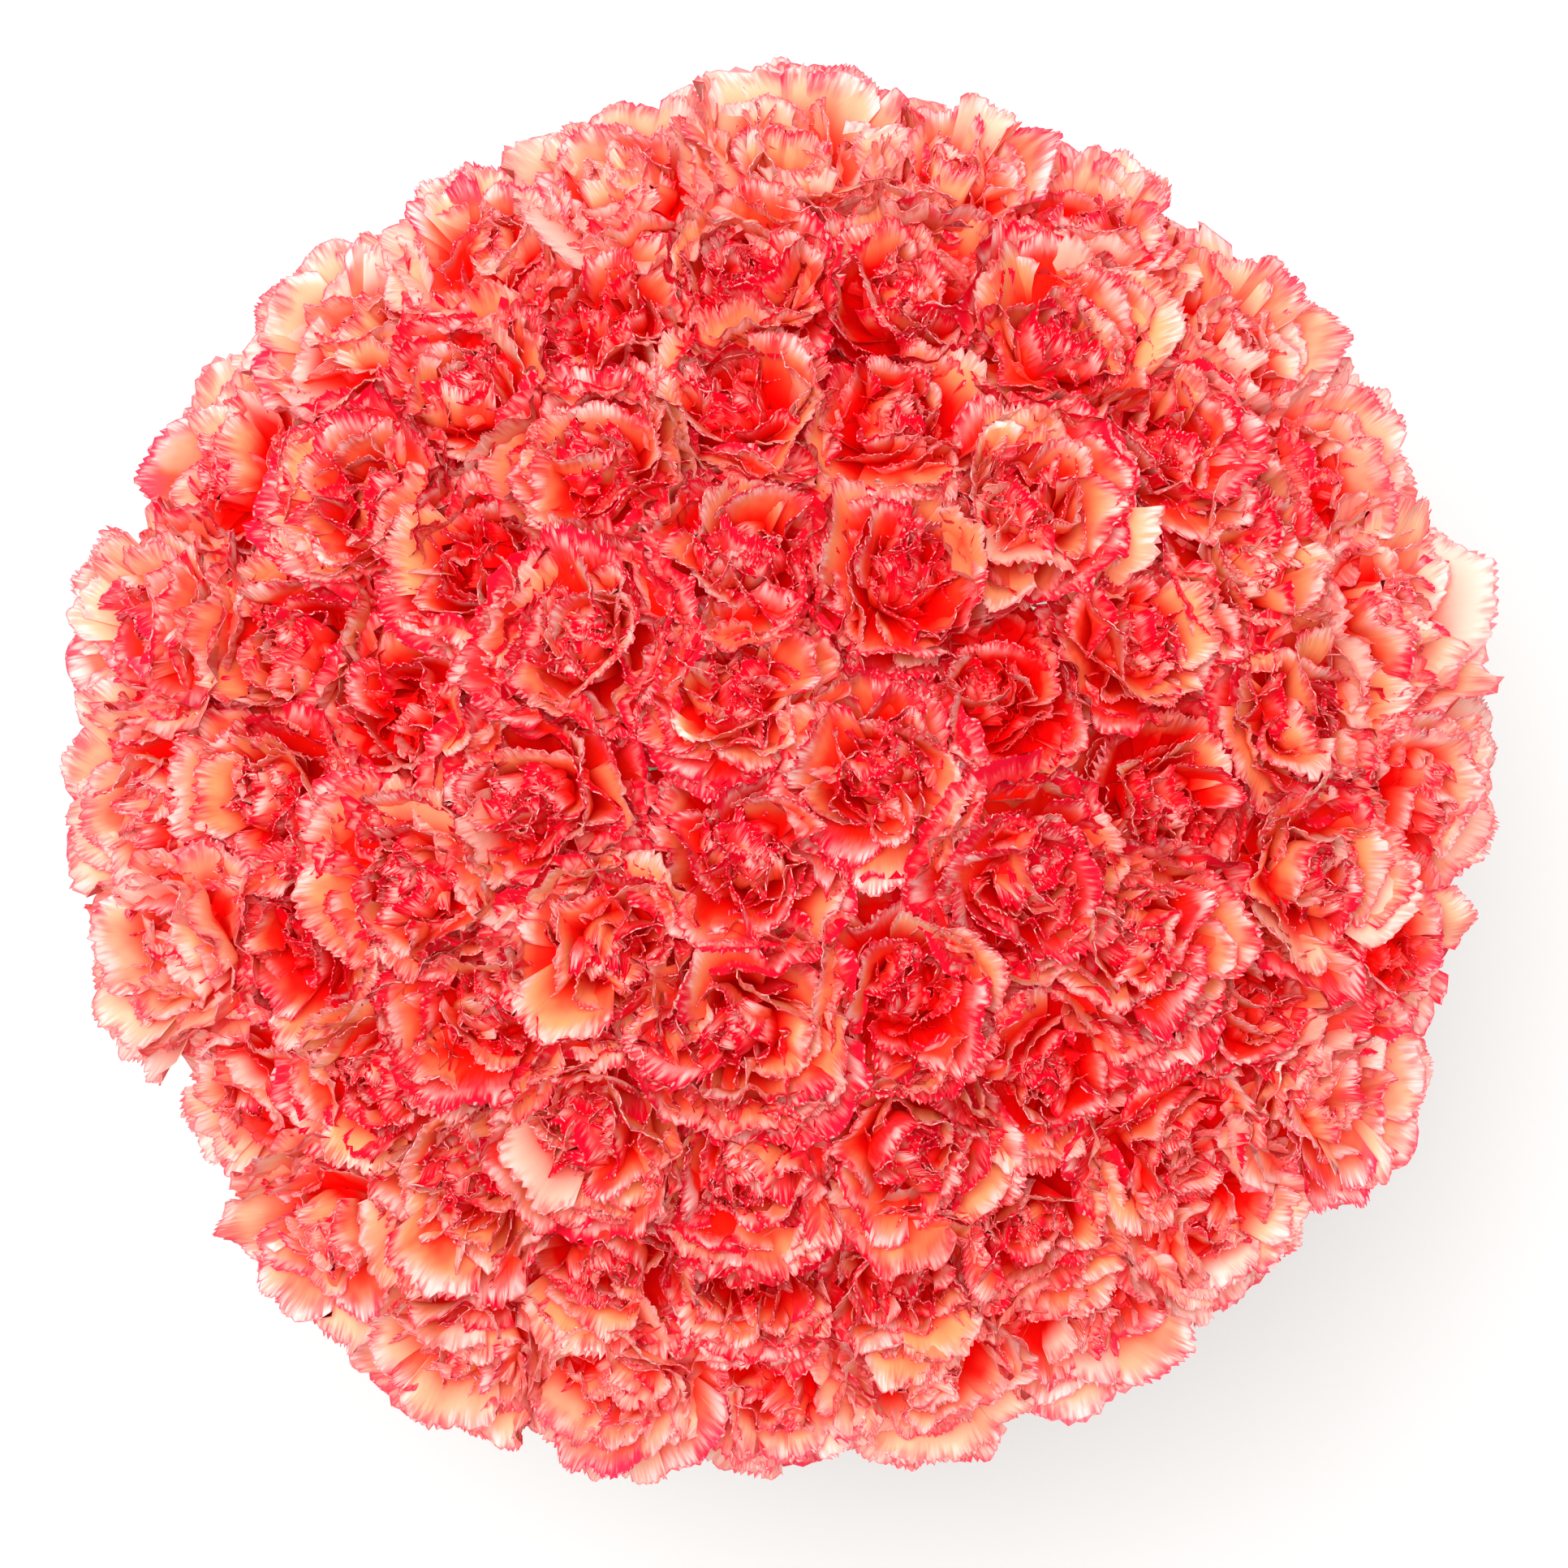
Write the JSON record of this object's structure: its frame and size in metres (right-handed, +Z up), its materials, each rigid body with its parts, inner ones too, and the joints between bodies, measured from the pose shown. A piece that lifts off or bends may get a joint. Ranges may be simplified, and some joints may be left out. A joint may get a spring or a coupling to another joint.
{
  "type": "bunch of carnations",
  "caption": "Round hand-tied bunch of coral carnations with pink-edged ruffled petals, standing upright on its splayed spiral of cut stems.",
  "frame": {"origin": "on the surface that the cut stem ends stand on, under the middle of the bunch", "axes": "+Z up through the tie to the top of the dome, +Y to the top edge of the picture, which looks straight down, +X to its right edge"},
  "size_m": [0.5266, 0.511, 0.591],
  "materials": {
    "petals": "soft thin petal, coral with hot pink feathered edges",
    "rim_petals": "soft thin petal, peach with pink feathered edges",
    "stems": "smooth green stem and calyx with a waxy grey bloom",
    "leaves": "narrow leaf, grey-green, waxy",
    "tie": "natural raffia, fibrous"
  },
  "bodies": {
    "root": {"blooms_ring1_1": "petals", "stems_ring1_1": "stems", "blooms_ring2_1": "petals", "stems_ring2_1": "stems", "blooms_ring2_2": "petals", "stems_ring2_2": "stems", "blooms_ring2_3": "petals", "stems_ring2_3": "stems", "blooms_ring3_1": "petals", "stems_ring3_1": "stems", "blooms_ring3_2": "petals", "stems_ring3_2": "stems", "blooms_ring3_3": "petals", "stems_ring3_3": "stems", "blooms_ring3_4": "petals", "stems_ring3_4": "stems", "blooms_ring3_5": "petals", "stems_ring3_5": "stems", "blooms_ring4_1": "petals", "stems_ring4_1": "stems", "blooms_ring4_2": "petals", "stems_ring4_2": "stems", "blooms_ring4_3": "petals", "stems_ring4_3": "stems", "blooms_ring4_4": "petals", "stems_ring4_4": "stems", "blooms_ring4_5": "petals", "stems_ring4_5": "stems", "blooms_ring4_6": "petals", "stems_ring4_6": "stems", "blooms_ring4_7": "petals", "stems_ring4_7": "stems", "blooms_ring5_1": "rim_petals", "stems_ring5_1": "stems", "blooms_ring5_2": "rim_petals", "stems_ring5_2": "stems", "blooms_ring5_3": "rim_petals", "stems_ring5_3": "stems", "blooms_ring5_4": "rim_petals", "stems_ring5_4": "stems", "blooms_ring5_5": "rim_petals", "stems_ring5_5": "stems", "blooms_ring5_6": "rim_petals", "stems_ring5_6": "stems", "blooms_ring5_7": "rim_petals", "stems_ring5_7": "stems", "blooms_ring5_8": "rim_petals", "stems_ring5_8": "stems", "leaf_pair_1": "leaves", "leaf_pair_2": "leaves", "leaf_pair_3": "leaves", "leaf_pair_4": "leaves", "leaf_pair_5": "leaves", "leaf_pair_6": "leaves", "leaf_pair_7": "leaves", "leaf_pair_8": "leaves", "tie": "tie"}
  },
  "joints": []
}
